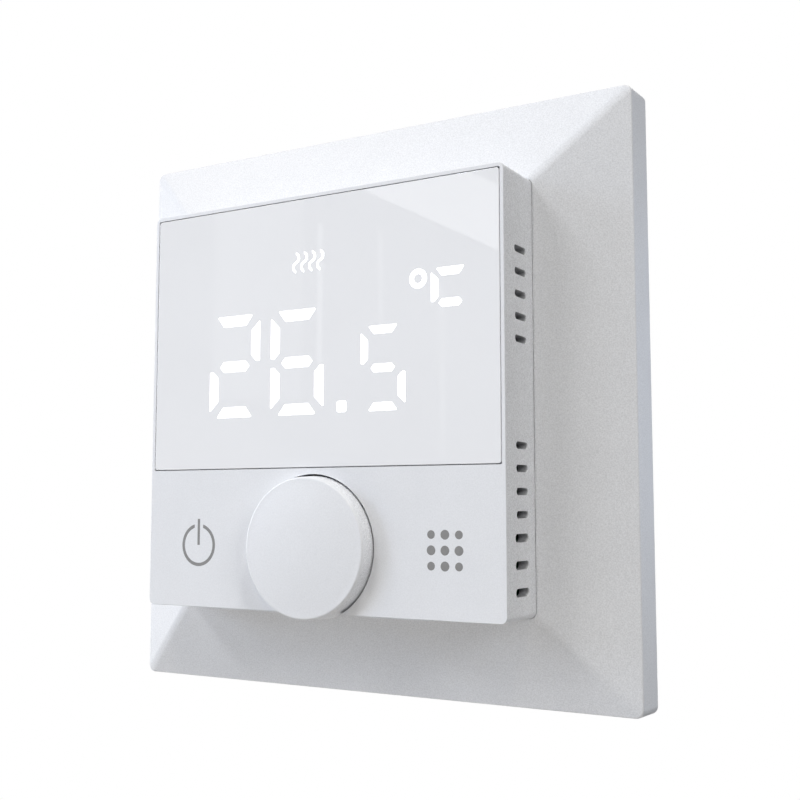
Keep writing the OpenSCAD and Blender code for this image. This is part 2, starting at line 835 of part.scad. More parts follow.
module encoder_housing() {
    color([0.12, 0.12, 0.13])
    difference() {
        block(0, knob_z, encoder_w, encoder_w, board_front_y, board_front_y - encoder_front_y);
        standing_at(0, encoder_floor_y, knob_z) cylinder(h = 6, r = 5);
    }
}

module encoder_bushing() {
    lug_t = 0.2;
    color([0.78, 0.79, 0.81])
    difference() {
        union() {
            block(0, knob_z, encoder_w + 2 * lug_t, encoder_w, encoder_front_y, bushing_plate_t);
            for (side = [-1, 1])
                block(side * (encoder_w / 2 + lug_t / 2), knob_z, lug_t, 4, board_front_y,
                    board_front_y - encoder_front_y + 0.1);
            standing_at(0, encoder_front_y, knob_z)
                cylinder(h = encoder_front_y - bushing_front_y, r = 3);
        }
        standing_at(0, encoder_front_y + 1, knob_z) cylinder(h = 6, r = shaft_r + shaft_clear);
    }
}

module detent_spring() {
    color([0.85, 0.78, 0.5])
    standing_at(0, encoder_front_y + 0.3, knob_z) difference() {
        cylinder(h = 0.2, r = 4.8);
        translate([0, 0, -1]) cylinder(h = 3, r = 2.6);
    }
}

// Click dome under the shaft, drawn as it is when pressed
module switch_dome() {
    color([0.85, 0.85, 0.87])
    standing_at(0, encoder_floor_y, knob_z) rotate_extrude()
        polygon(concat([[0, 0], [2.5, 0]], arc([0, dome_h - 6.6], 6.6, 68, 90, 6)));
}

// Round shaft section with a flat, as an outline
module flatted_circle(r, flat) {
    intersection() {
        circle(r);
        translate([-r, -r]) square([2 * r, r + flat]);
    }
}

module encoder_rotor() {
    color([0.85, 0.85, 0.82])
    difference() {
        union() {
            standing_at(0, rotor_y, knob_z) cylinder(h = 1, r = 4.7);
            standing_at(0, rotor_y + 1.4, knob_z) cylinder(h = 1.6, r = 3.7);
        }
        // room for the click dome
        standing_at(0, rotor_y + 2, knob_z) cylinder(h = 1.9, r = 3.0);
        standing_at(0, rotor_y + 2, knob_z) linear_extrude(4)
            flatted_circle(shaft_r + shaft_clear, flat_at + shaft_clear);
    }
}

module encoder_shaft() {
    tail_flat_end = -14.5;
    tip_flat_end = -17.4;
    tip_y = -19.5;
    color([0.7, 0.71, 0.73]) {
        standing_at(0, shaft_tail_y, knob_z) linear_extrude(shaft_tail_y - tail_flat_end)
            flatted_circle(shaft_r, flat_at);
        standing_at(0, tail_flat_end, knob_z) cylinder(h = tail_flat_end - tip_flat_end, r = shaft_r);
        standing_at(0, tip_flat_end, knob_z) linear_extrude(tip_flat_end - tip_y)
            flatted_circle(shaft_r, flat_at);
    }
}

module knob_cap() {
    skin = 1.2;
    hub_r = 3.4;
    hub_back = 1.0;
    face_r = knob_front_r - knob_edge_r;
    crown_r = (face_r * face_r + knob_crown * knob_crown) / (2 * knob_crown);
    crown_steps = 6;
    color([0.95, 0.96, 0.97])
    standing_at(0, knob_base_y, knob_z) difference() {
        union() {
            rotate_extrude() polygon(concat(
                [[0, knob_h - skin], [knob_base_r - skin, knob_h - skin],
                    [knob_base_r - skin, 0], [knob_base_r, 0]],
                arc([face_r, knob_h - knob_edge_r], knob_edge_r, 0, 90, 6),
                [for (i = [crown_steps - 1 : -1 : 0]) let (x = face_r * i / crown_steps)
                    [x, knob_h + knob_crown - crown_r + sqrt(crown_r * crown_r - x * x)]]
            ));
            translate([0, 0, hub_back]) cylinder(h = knob_h - skin - hub_back + 0.1, r = hub_r);
            // ribs from the hub to the rim
            for (a = [0 : 60 : 300]) rotate(a)
                translate([hub_r - 0.2, -0.5, knob_h - skin - 0.6])
                    cube([knob_base_r - skin - hub_r + 0.4, 1, 0.7]);
        }
        translate([0, 0, hub_back - 1]) linear_extrude(knob_h - skin - hub_back + 1)
            flatted_circle(shaft_r, flat_at);
    }
}

// Split steel ring that squeezes the hub onto the shaft
module knob_clip() {
    color([0.75, 0.76, 0.78])
    standing_at(0, knob_base_y - 1.1, knob_z) difference() {
        cylinder(h = 1, r = 3.9);
        translate([0, 0, -1]) cylinder(h = 3, r = 3.4);
        translate([0, -0.6, -1]) cube([5, 1.2, 3]);
    }
}

// ---------------------------------------------------------------- head: plug and rear cover

module header_base() {
    base_h = 2.5;
    color([0.13, 0.13, 0.14])
    difference() {
        block(0, header_z, pin_columns * pin_pitch, pin_rows * pin_pitch, board_back_y + base_h, base_h);
        for (p = pin_places) block(p[0], p[1], pin_w, pin_w, board_back_y + base_h + 1, base_h + 2);
    }
}

module header_pins() {
    pin_end_y = 3.4;
    color([0.9, 0.78, 0.4])
    for (p = pin_places) block(p[0], p[1], pin_w, pin_w, pin_end_y, pin_end_y - board_back_y);
}

module head_rear_cover() {
    cover_w = head_inner_w - 0.2;
    cover_front_y = -head_back - rear_cover_t;
    post_l = cover_front_y - board_back_y;
    post_x = 23.5;
    post_z = 16;
    color([0.9, 0.9, 0.88])
    difference() {
        union() {
            towards_front(-head_back, rear_cover_t) rounded_square(cover_w, cover_w, 0.5);
            // posts that hold the display board
            for (x = [-1, 1], z = [-1, 1])
                standing_at(x * post_x, -head_back, z * post_z)
                    cylinder(h = post_l + rear_cover_t, r = 1.6);
            // snap tabs
            for (a = [0 : 90 : 270]) rotate([0, a, 0])
                block(head_inner_w / 2 + 0.3, 0, 1.6, 6, -head_back - 0.4, 0.7);
            // hooks that plug into the wall unit
            for (side = [-1, 1]) block(side * hook_x, 0, 1.2, 4, 1.2, 1.2 + head_back + 0.1);
        }
        translate([0, 0, header_z]) towards_front(0, 8)
            square([pin_columns * pin_pitch + 1, pin_rows * pin_pitch + 1], center = true);
        // air slots behind the room sensor
        for (i = [0 : 4]) block(21.5, -24 + 2 * i, 5, 0.9, 0, 8);
    }
}

// ---------------------------------------------------------------- nodes

wall_frame();
carrier_plate();
frame_clips();
power_housing();
base_lid();
lid_screws();
socket_strip();
power_board();
relay();
transformer();
filter_capacitor();
safety_capacitor();
varistor();
fuse();
choke();
terminal_block();
terminal_screws();
terminal_clamps();
front_cover();
display_lens();
display_segments();
touch_icons();
diffuser_film();
light_mask();
segment_leds();
display_board();
mask_screws();
microcontroller();
radio_module();
temperature_sensor();
buzzer();
clock_battery();
touch_spring_power();
touch_spring_menu();
encoder_housing();
encoder_bushing();
detent_spring();
switch_dome();
header_base();
header_pins();
head_rear_cover();
encoder_rotor();
knob_cap();
encoder_shaft();
knob_clip();
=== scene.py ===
"""Looks of a wall thermostat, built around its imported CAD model. The front faces -Y.

The shapes are worked out in millimetres. Materials, lights and Blender itself are in metres.
"""

import json
import math

import bmesh
import bpy
from mathutils import Matrix, Vector


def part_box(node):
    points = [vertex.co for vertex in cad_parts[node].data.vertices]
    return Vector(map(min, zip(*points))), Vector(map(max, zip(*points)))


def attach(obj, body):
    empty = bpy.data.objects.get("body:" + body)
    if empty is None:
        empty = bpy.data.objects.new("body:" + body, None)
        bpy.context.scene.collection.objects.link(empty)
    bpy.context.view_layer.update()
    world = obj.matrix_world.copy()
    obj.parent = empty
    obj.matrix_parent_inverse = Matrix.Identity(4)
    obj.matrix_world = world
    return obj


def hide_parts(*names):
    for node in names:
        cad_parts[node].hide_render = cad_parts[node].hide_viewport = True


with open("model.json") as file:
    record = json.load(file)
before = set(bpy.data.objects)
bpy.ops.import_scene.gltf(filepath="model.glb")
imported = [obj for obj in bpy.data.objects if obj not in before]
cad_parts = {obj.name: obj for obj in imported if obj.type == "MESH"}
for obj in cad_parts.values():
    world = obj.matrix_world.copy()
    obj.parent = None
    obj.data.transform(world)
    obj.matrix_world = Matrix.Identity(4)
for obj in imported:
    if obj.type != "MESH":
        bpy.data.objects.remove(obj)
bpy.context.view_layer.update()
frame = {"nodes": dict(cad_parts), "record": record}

MM = 0.001
RECORD = frame["record"]
BODY_OF = {n: body for body, names in RECORD["behaviour"]["bodies"].items() for n in names}
SLOT_OF = {s["node"]: s["material_slot"] for s in RECORD["subparts"]}
scene = bpy.context.scene


# ------------------------------------------------------------------ places taken from the CAD

front_low, front_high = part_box("front_cover")
lens_low, lens_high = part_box("display_lens")
frame_low, frame_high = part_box("wall_frame")
knob_low, knob_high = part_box("knob_cap")
HEAD_HALF = front_high.x / MM
FACE_Y = front_low.y / MM
FRAME_HALF = frame_high.x / MM
RIM_Y = frame_low.y / MM
KNOB_Z = (knob_low.z + knob_high.z) / 2 / MM
KNOB_BASE_R = knob_high.x / MM
KNOB_BASE_Y = knob_high.y / MM
KNOB_TIP_Y = knob_low.y / MM
KNOB_CROWN = 0.45
KNOB_EDGE_Y = KNOB_TIP_Y + KNOB_CROWN


# ------------------------------------------------------------------ materials

BLEND = 0.0001  # width over which one finish passes into the next
POLISHED = 0.2  # share of the grain that polished faces keep
SLOT_SHADE_TONE = 0.65  # painted shade on the vents' walls: their tone, as a share of the cover's


class Shader:
    """A material's node tree, with the few node kinds that these materials are built from."""

    def __init__(self, name, **sockets):
        self.material = bpy.data.materials.new(name)
        self.material.use_nodes = True
        self.tree = self.material.node_tree
        self.surface = self.tree.nodes["Principled BSDF"]
        for key, value in sockets.items():
            self.surface.inputs[key.replace("_", " ").title()].default_value = value
        self.place = self.tree.nodes.new("ShaderNodeTexCoord").outputs["Object"]

    def link(self, source, target):
        self.tree.links.new(source, target)

    def stretched(self, scale):
        """Object coordinates, scaled along each axis."""
        node = self.tree.nodes.new("ShaderNodeMapping")
        node.inputs["Scale"].default_value = scale
        self.link(self.place, node.inputs["Vector"])
        return node.outputs["Vector"]

    def noise(self, size, detail=2.0, place=None):
        """Noise whose features are about size metres across."""
        node = self.tree.nodes.new("ShaderNodeTexNoise")
        node.inputs["Scale"].default_value = 1.0 / size
        node.inputs["Detail"].default_value = detail
        self.link(place or self.place, node.inputs["Vector"])
        return node.outputs["Fac"]

    def cells(self, size, feature):
        """Random cells: distance from their edges or, with the feature F1, from their centres."""
        node = self.tree.nodes.new("ShaderNodeTexVoronoi")
        node.feature = feature
        node.inputs["Scale"].default_value = 1.0 / size
        self.link(self.place, node.inputs["Vector"])
        return node.outputs["Distance"]

    def ramp(self, source, stops):
        """Colour ramp; stops are (position, colour)."""
        node = self.tree.nodes.new("ShaderNodeValToRGB")
        elements = node.color_ramp.elements
        for element, (position, colour) in zip(elements, stops):
            element.position = position
            element.color = (*colour, 1.0)
        self.link(source, node.inputs["Fac"])
        return node.outputs["Color"]

    def mottled(self, source, colour, darker, lighter, low=0.3, high=0.7):
        """A colour that wanders between a darker and a lighter share of itself."""
        return self.ramp(source, [(low, tinted(colour, darker)), (high, tinted(colour, lighter))])

    def mapped(self, source, low, high, to_low, to_high):
        """Maps the range low to high onto to_low to to_high, and holds the ends."""
        node = self.tree.nodes.new("ShaderNodeMapRange")
        limits = {"From Min": low, "From Max": high, "To Min": to_low, "To Max": to_high}
        for key, value in limits.items():
            node.inputs[key].default_value = value
        self.link(source, node.inputs["Value"])
        return node.outputs["Result"]

    def above(self, source, limit):
        """1 above the limit and 0 just below it."""
        return self.mapped(source, limit - BLEND, limit, 0.0, 1.0)

    def below(self, source, limit):
        """1 below the limit and 0 just above it."""
        return self.mapped(source, limit, limit + BLEND, 1.0, 0.0)

    def axis(self, name):
        node = self.tree.nodes.new("ShaderNodeSeparateXYZ")
        self.link(self.place, node.inputs["Vector"])
        return node.outputs[name]

    def combined(self, operation, *sources):
        node = self.tree.nodes.new("ShaderNodeMath")
        node.operation = operation
        for socket, source in zip(node.inputs, sources):
            self.link(source, socket)
        return node.outputs["Value"]

    def scaled(self, colour, level):
        node = self.tree.nodes.new("ShaderNodeVectorMath")
        node.operation = "SCALE"
        self.link(colour, node.inputs[0])
        self.link(level, node.inputs["Scale"])
        return node.outputs["Vector"]

    def bump(self, heights):
        """Bump from (source, strength, distance) layers, one on top of the other."""
        normal = None
        for source, strength, distance in heights:
            node = self.tree.nodes.new("ShaderNodeBump")
            node.inputs["Strength"].default_value = strength
            node.inputs["Distance"].default_value = distance
            self.link(source, node.inputs["Height"])
            if normal:
                self.link(normal, node.inputs["Normal"])
            normal = node.outputs["Normal"]
        self.link(normal, self.surface.inputs["Normal"])

    def colour(self, source):
        self.link(source, self.surface.inputs["Base Color"])

    def roughness(self, source):
        self.link(source, self.surface.inputs["Roughness"])


def tinted(colour, share):
    return tuple(min(1.0, c * share) for c in colour)


def slot_shade_mask(s, sides, half_height, front):
    """Where shade is painted: 1 inside the vents and 0 elsewhere. They lie between two |x|, under
    one |z|, behind one y.
    """
    across = s.combined("ABSOLUTE", s.axis("X"))
    up = s.combined("ABSOLUTE", s.axis("Z"))
    inside = s.above(across, sides[0])
    for part in (s.below(across, sides[1]), s.below(up, half_height), s.above(s.axis("Y"), front)):
        inside = s.combined("MULTIPLY", inside, part)
    return inside


def moulded(name, colour, rough=0.45, grain=0.00016, relief=0.25, shade=0.02, speck=0.0,
            smooth=None, slots=None):
    """Injection-moulded plastic: spark-eroded grain, with slight changes of tone and gloss.

    grain is the grains' size and relief the strength of their bump. shade is how far the tone
    wanders from place to place, and speck how far from grain to grain. In front of the depth
    smooth the surface is polished. The walls of the vents, where given, are darker: painted shade.
    """
    s = Shader(name, roughness=rough)
    base = s.mottled(s.noise(0.006, 3.0), colour, 1 - shade, 1 + shade)
    grains = s.mapped(s.noise(grain, 2.0), 0.0, 1.0, -1.0, 1.0)
    if smooth is not None:
        share = s.mapped(s.axis("Y"), smooth - BLEND, smooth + BLEND, POLISHED, 1.0)
        grains = s.combined("MULTIPLY", grains, share)
    if speck:
        base = s.scaled(base, s.mapped(grains, -0.5, 0.5, 1 - speck, 1 + speck))
    # painted shade: the vents' walls are darkened to a share of the cover's tone
    if slots:
        base = s.scaled(base, s.mapped(slot_shade_mask(s, **slots), 0.0, 1.0, 1.0, SLOT_SHADE_TONE))
    s.colour(base)
    s.roughness(s.mapped(grains, -0.4, 0.4, rough - 0.05, rough + 0.06))
    s.bump([(s.noise(0.004, 1.0), 0.04, 0.0002), (grains, relief, 0.000015)])
    return s.material


def glossy(name, colour, rough):
    """Polished plastic panel with a faint waviness."""
    s = Shader(name, roughness=rough, coat_weight=0.35, coat_roughness=0.012)
    s.colour(s.mottled(s.noise(0.02, 2.0), colour, 0.992, 1.008, 0.35, 0.65))
    s.roughness(s.mapped(s.noise(0.0006, 2.0), 0.3, 0.7, rough - 0.005, rough + 0.01))
    s.bump([(s.noise(0.008, 1.0), 0.02, 0.00005)])
    return s.material


def lit(name):
    """Light sources seen through the panel: even white light."""
    glow = {"emission_color": (1.0, 1.0, 1.0, 1.0), "emission_strength": 1.15}
    s = Shader(name, roughness=0.2, **glow)
    s.colour(s.ramp(s.noise(0.0012, 1.0), [(0.3, (0.9, 0.9, 0.92)), (0.7, (1.0, 1.0, 1.0))]))
    return s.material


def printed(name, colour):
    """Pad-printed ink, with slightly uneven cover."""
    s = Shader(name, roughness=0.5)
    cover = s.noise(0.0004, 3.0)
    s.colour(s.mottled(cover, colour, 0.95, 1.06))
    s.bump([(cover, 0.1, 0.00001)])
    return s.material


def sheet_metal(name, colour, rough=0.32, grain=(1, 1, 12)):
    """Metal with rolling marks, soft blotches and fine scratches.

    grain is how much narrower the marks are along each axis.
    """
    s = Shader(name, metallic=1.0, roughness=rough)
    rolled = s.noise(0.003, 5.0, s.stretched(grain))
    s.colour(s.mottled(s.noise(0.005, 3.0), colour, 0.88, 1.08))
    s.roughness(s.mapped(rolled, 0.3, 0.7, rough - 0.1, rough + 0.12))
    s.bump([(rolled, 0.12, 0.00003), (s.noise(0.0003, 3.0), 0.05, 0.00001)])
    return s.material


def circuit_board(name, mask, track, pad):
    """Solder mask over tracks that stand proud of the board, with bright round pads."""
    s = Shader(name, roughness=0.32)
    routes = s.cells(0.0021, "DISTANCE_TO_EDGE")
    mix = s.tree.nodes.new("ShaderNodeMix")
    mix.data_type = "RGBA"
    s.link(s.mapped(s.cells(0.0017, "F1"), 0.1, 0.13, 1.0, 0.0), mix.inputs["Factor"])
    s.link(s.ramp(routes, [(0.035, track), (0.05, mask)]), mix.inputs["A"])
    mix.inputs["B"].default_value = (*pad, 1.0)
    s.colour(mix.outputs["Result"])
    s.bump([(s.mapped(routes, 0.03, 0.06, 1.0, 0.0), 0.3, 0.00003)])
    return s.material


def lacquer(name, colour):
    """Dipped or sleeved component: smooth and slightly orange-peeled."""
    s = Shader(name, roughness=0.22, coat_weight=0.5, coat_roughness=0.08)
    peel = s.noise(0.0009, 2.0)
    s.colour(s.mottled(peel, colour, 0.9, 1.12))
    s.bump([(peel, 0.25, 0.00006)])
    return s.material


WHITE = (0.72, 0.73, 0.75)
# where shade is painted on the walls of the cover's vents
VENT_SHADE_PLACES = dict(
    sides=((HEAD_HALF - 1.7) * MM, (HEAD_HALF - 0.2) * MM),
    half_height=26 * MM,
    front=(FACE_Y + 1) * MM,
)
BOARD = dict(mask=(0.012, 0.11, 0.045), track=(0.03, 0.2, 0.08), pad=(0.72, 0.6, 0.32))
OUTSIDE = dict(colour=WHITE, shade=0.01)  # what the three visible mouldings share
FINISHES = {
    "frame_plastic": (
        moulded, dict(rough=0.42, grain=0.00017, relief=0.7, speck=0.12, **OUTSIDE)
    ),
    # the cover carries painted shade on the walls of its vents
    "cover_plastic": (
        moulded, dict(relief=0.8, speck=0.22, smooth=(FACE_Y + 0.2) * MM, slots=VENT_SHADE_PLACES, **OUTSIDE)
    ),
    "knob_plastic": (
        moulded, dict(rough=0.42, grain=0.00017, relief=0.7, speck=0.2,
                      smooth=(KNOB_EDGE_Y + 0.45) * MM, **OUTSIDE)
    ),
    "lens_plastic": (glossy, dict(colour=(0.80, 0.808, 0.826), rough=0.02)),
    "lit_symbol": (lit, {}),
    "printed_mark": (printed, dict(colour=(0.225, 0.222, 0.218))),
    "film": (moulded, dict(colour=(0.85, 0.85, 0.85), rough=0.6)),
    "mask_plastic": (moulded, dict(colour=(0.8, 0.8, 0.8), rough=0.5)),
    "led": (lacquer, dict(colour=(0.9, 0.82, 0.45))),
    "board": (circuit_board, BOARD),
    "black_plastic": (moulded, dict(colour=(0.025, 0.025, 0.028), rough=0.5)),
    "grey_plastic": (
        moulded, dict(colour=(0.58, 0.59, 0.59), rough=0.5, grain=0.0003, relief=0.35)
    ),
    "terminal_plastic": (moulded, dict(colour=(0.04, 0.2, 0.09))),
    "plate_steel": (sheet_metal, dict(colour=(0.6, 0.61, 0.62))),
    "screw_steel": (sheet_metal, dict(colour=(0.62, 0.63, 0.65), rough=0.25, grain=(1, 1, 3))),
    "spring_steel": (sheet_metal, dict(colour=(0.7, 0.7, 0.71), rough=0.22)),
    "can_metal": (sheet_metal, dict(colour=(0.66, 0.67, 0.68), rough=0.28)),
    "brass": (sheet_metal, dict(colour=(0.78, 0.6, 0.28), rough=0.25)),
    "blue_lacquer": (lacquer, dict(colour=(0.02, 0.09, 0.32))),
    "yellow_plastic": (moulded, dict(colour=(0.7, 0.48, 0.05), rough=0.4)),
    "brown_plastic": (moulded, dict(colour=(0.16, 0.05, 0.03), rough=0.4)),
    "sleeve": (lacquer, dict(colour=(0.02, 0.025, 0.07))),
    "light_plastic": (moulded, dict(colour=(0.65, 0.64, 0.58), rough=0.4)),
}
MATERIALS = {slot: make(slot, **look) for slot, (make, look) in FINISHES.items()}


# ------------------------------------------------------------------ pieces

SHARP = math.radians(35)  # edges over this angle stay sharp in the shading
BEVELLED = math.radians(40)  # edges over this angle get a fillet
FLAT = math.radians(0.4)  # faces that differ by less than this become one
WELD = 2e-6  # metres within which vertices of a CAD mesh are one


def place(piece, node, *others):
    """Gives a piece the body and finish of its node, and lets it stand for the node and others."""
    scene.collection.objects.link(piece)
    slot = SLOT_OF[node]
    piece.data.materials.clear()
    piece.data.materials.append(MATERIALS[slot])
    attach(piece, BODY_OF[node])
    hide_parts(node, *others)


def finished(bm, node, mesh=None):
    """Makes the built mesh into the piece that stands for the node."""
    name = node + "_finished"
    mesh = mesh or bpy.data.meshes.new(name)
    bmesh.ops.recalc_face_normals(bm, faces=bm.faces)
    bm.to_mesh(mesh)
    bm.free()
    mesh.polygons.foreach_set("use_smooth", [True] * len(mesh.polygons))
    mesh.set_sharp_from_angle(angle=SHARP)
    mesh.update()
    piece = bpy.data.objects.new(name, mesh)
    place(piece, node)
    return piece


def weigh_normals(piece):
    """Keeps the large flats flat next to small fillets."""
    modifier = piece.modifiers.new("flat_faces", "WEIGHTED_NORMAL")
    modifier.keep_sharp = True
    modifier.weight = 100


def refined(node, fillet):
    """The node's own mesh, cleaned and with its edges broken by a small fillet."""
    mesh = frame["nodes"][node].data.copy()
    for name in [a.name for a in mesh.attributes if a.name == "custom_normal"]:
        mesh.attributes.remove(mesh.attributes[name])
    bm = bmesh.new()
    bm.from_mesh(mesh)
    bmesh.ops.remove_doubles(bm, verts=bm.verts, dist=WELD)
    bmesh.ops.dissolve_limit(bm, angle_limit=FLAT, verts=bm.verts, edges=bm.edges)
    if fillet:
        edges = [
            e for e in bm.edges if len(e.link_faces) == 2 and e.calc_face_angle(0.0) > BEVELLED
        ]
        bmesh.ops.bevel(
            bm, geom=edges, offset=fillet * MM, offset_type="OFFSET", segments=2,
            profile=0.5, affect="EDGES", clamp_overlap=True,
        )
    weigh_normals(finished(bm, node, mesh))


def square_ring(half_x, half_z, radius, y, centre_z=0.0, turns=10):
    """Rounded rectangle at depth y, anticlockwise from its right as seen from the front."""
    points = []
    for corner, (sx, sz) in enumerate(((1, 1), (-1, 1), (-1, -1), (1, -1))):
        for i in range(turns + 1):
            a = math.radians(90 * corner + 90 * i / turns)
            x = sx * (half_x - radius) + radius * math.cos(a)
            z = centre_z + sz * (half_z - radius) + radius * math.sin(a)
            points.append(Vector((x, y, z)))
    return points


def skin(bm, rows):
    """Quads between neighbouring rows of vertices, each row closed on itself."""
    for a, b in zip(rows, rows[1:]):
        for i in range(len(a)):
            j = (i + 1) % len(a)
            bm.faces.new((a[i], a[j], b[j], b[i]))


def loft(rings, closed=False):
    """Skin over rings with the same number of points. An open row is capped at both ends."""
    bm = bmesh.new()
    rows = [[bm.verts.new(p * MM) for p in ring] for ring in rings]
    skin(bm, rows + rows[:1] if closed else rows)
    if not closed:
        bm.faces.new(rows[0])
        bm.faces.new(list(reversed(rows[-1])))
    return bm


def filleted(points, radii, steps=4):
    """A closed outline of 2-D points with each corner rounded by its own radius."""
    out = []
    count = len(points)
    for i, (point, radius) in enumerate(zip(points, radii)):
        if radius <= 0:
            out.append(point)
            continue
        before = (points[i - 1] - point).normalized()
        after = (points[(i + 1) % count] - point).normalized()
        half = before.angle(after) / 2
        reach = radius / math.tan(half)
        centre = point + (before + after).normalized() * radius / math.sin(half)
        start = (point + before * reach - centre).normalized()
        end = (point + after * reach - centre).normalized()
        for k in range(steps + 1):
            out.append(centre + start.slerp(end, k / steps) * radius)
    return out


# ------------------------------------------------------------------ decorative frame

SKIRT_Y = -5.3
SKIRT_TAPER = 0.175
RIM_WIDTH = 0.25
HEAD_GAP = 0.06
COLLAR_WALL = 1.6
COLLAR_BACK_Y = -1.8
FRAME_WALL = 1.8


def decorative_frame():
    """A skirt, four slopes up to a narrow rim, and a collar behind the rim, all of one wall."""
    front_half = FRAME_HALF - SKIRT_TAPER
    opening_half = HEAD_HALF + HEAD_GAP
    rim_half = opening_half + RIM_WIDTH
    collar_half = opening_half + COLLAR_WALL
    inner_half = front_half - FRAME_WALL
    slope = (RIM_Y - SKIRT_Y) / (front_half - rim_half)
    under_skirt_y = SKIRT_Y + slope * FRAME_WALL + FRAME_WALL * math.hypot(1, slope)
    under_rim_y = under_skirt_y + slope * (inner_half - collar_half)
    # half width, depth, fillet and corner radius of each edge of the section, round the section
    section = [
        (FRAME_HALF, 0.0, 0.15, 1.05),
        (front_half, SKIRT_Y, 0.35, 1.05),
        (rim_half, RIM_Y, 0.1, 1.0),
        (opening_half, RIM_Y, 0.03, 0.9),
        (opening_half, COLLAR_BACK_Y, 0.1, 1.0),
        (collar_half, COLLAR_BACK_Y, 0.1, 0.8),
        (collar_half, under_rim_y, 0.3, 0.8),
        (inner_half, under_skirt_y, 0.5, 0.6),
        (inner_half, 0.0, 0.1, 0.6),
    ]
    outline = filleted([Vector(edge[:2]) for edge in section], [edge[2] for edge in section])
    steps = len(outline) // len(section)
    rings = []
    for i, point in enumerate(outline):
        corner = section[i // steps][3]
        rings.append(square_ring(point.x, point.x, corner, point.y))
    weigh_normals(finished(loft(rings, closed=True), "wall_frame"))


# ------------------------------------------------------------------ glossy panel

LENS_CORNER_R = 0.4
LENS_EDGE_R = 0.08
LENS_EDGE_STEPS = 4


def lens_panel():
    """Flush panel with small rounded corners and a rounded front edge."""
    half_x = (lens_high.x - lens_low.x) / 2 / MM
    half_z = (lens_high.z - lens_low.z) / 2 / MM
    centre_z = (lens_high.z + lens_low.z) / 2 / MM
    back_y = lens_high.y / MM
    rings = [square_ring(half_x, half_z, LENS_CORNER_R, back_y, centre_z)]
    for k in range(LENS_EDGE_STEPS + 1):
        a = math.radians(90 * k / LENS_EDGE_STEPS)
        inset = LENS_EDGE_R * (1 - math.cos(a))
        y = FACE_Y + LENS_EDGE_R * (1 - math.sin(a))
        corner = LENS_CORNER_R - inset
        rings.append(square_ring(half_x - inset, half_z - inset, corner, y, centre_z))
    weigh_normals(finished(loft(rings), "display_lens"))


# ------------------------------------------------------------------ lit symbols

GLYPH_BACK_Y = FACE_Y + 0.3
GLYPH_FRONT_Y = FACE_Y - 0.006
GLYPH_CORNER_R = 0.13

# half width, half height, stroke, inset of the flat bars, and half the gap at the middle
BIG_DIGIT = (4.32, 7.08, 1.48, 1.24, 0.6)
SMALL_DIGIT = (3.31, 5.5, 1.08, 1.11, 0.6)
DEGREE_LETTER = (2.72, 4.48, 1.05, 0.68, 0.2)
# centre, size and lit bars of each figure
FIGURES = [
    ((-13.1, 5.17), BIG_DIGIT, "abged"),
    ((-2.6, 5.15), BIG_DIGIT, "afgecd"),
    ((10.8, 3.58), SMALL_DIGIT, "afgcd"),
    ((20.56, 11.18), DEGREE_LETTER, "afg"),
]
POINT_AT = (4.56, -1.13)
POINT_HALF = 0.73
POINT_CORNER_R = 0.25
DEGREE_AT = (15.99, 14.56)
DEGREE_R = 1.26
DEGREE_HOLE_R = 0.6
WAVES_AT = (-0.89, 18.65)
WAVE_PITCH = 1.31
WAVES = 4


def prism(bm, outline):
    """Closed slab between the glyphs' two depths, from an outline of 2-D points in x and z."""
    back = [bm.verts.new((p.x * MM, GLYPH_BACK_Y * MM, p.y * MM)) for p in outline]
    front = [bm.verts.new((p.x * MM, GLYPH_FRONT_Y * MM, p.y * MM)) for p in outline]
    skin(bm, [back, front])
    bm.faces.new(back)
    bm.faces.new(list(reversed(front)))


def bars(width, height, stroke, inset, middle, lit_bars):
    """Outlines of a seven-bar figure: a is the top, then b to f clockwise, and g is the middle."""
    flat = width - inset
    bevel = 0.79 * stroke
    side_top = height - 0.83 * inset
    shoulder = side_top - 0.84 * stroke
    foot = middle + 0.58 * stroke
    half = width - inset - 0.36 * stroke
    neck = half - 0.45 * stroke
    chip = 0.1
    flat_bar = [
        (-flat, height), (flat, height), (flat - bevel, height - stroke),
        (bevel - flat, height - stroke),
    ]
    side_bar = [
        (width, middle + chip), (width, side_top), (width - 0.12 * stroke, side_top),
        (width - stroke, shoulder), (width - stroke, foot), (width - 0.42 * stroke, middle),
        (width - chip, middle),
    ]
    centre_bar = [
        (-half, 0), (-neck, stroke / 2), (neck, stroke / 2),
        (half, 0), (neck, -stroke / 2), (-neck, -stroke / 2),
    ]
    # the shape of each bar, and the sides on which it lies
    shapes = {
        "a": (flat_bar, 1, 1),
        "b": (side_bar, 1, 1),
        "c": (side_bar, 1, -1),
        "d": (flat_bar, 1, -1),
        "e": (side_bar, -1, -1),
        "f": (side_bar, -1, 1),
        "g": (centre_bar, 1, 1),
    }
    for bar in lit_bars:
        points, sx, sz = shapes[bar]
        yield [Vector((x * sx, z * sz)) for x, z in points]


def softened(points, radius):
    """Rounds each corner by the radius, or by less where a side is too short for it."""
    radii = []
    for i, point in enumerate(points):
        before, after = points[i - 1] - point, points[(i + 1) % len(points)] - point
        half = before.angle(after) / 2
        longest = 0.45 * min(before.length, after.length) * math.tan(half)
        radii.append(min(radius, longest))
    return filleted(points, radii, 3)


def wave(height=2.5, swing=0.49, half_width=0.16, roundness=0.12, steps=24):
    """One S-shaped heat wave with ends cut upright. The third harmonic rounds its two bends."""
    left, right = [], []
    for i in range(steps + 1):
        turn = 2 * math.pi * i / steps
        sway = math.sin(turn) + roundness * math.sin(3 * turn)
        slope = math.cos(turn) + 3 * roundness * math.cos(3 * turn)
        middle = Vector((swing * sway, height / 2 - height * i / steps))
        along = Vector((swing * 2 * math.pi / height * slope, -1)).normalized()
        if i in (0, steps):
            across = Vector((0, half_width / along.x))
        else:
            across = Vector((-along.y, along.x)) * half_width
        left.append(middle + across)
        right.append(middle - across)
    return left + right[::-1]


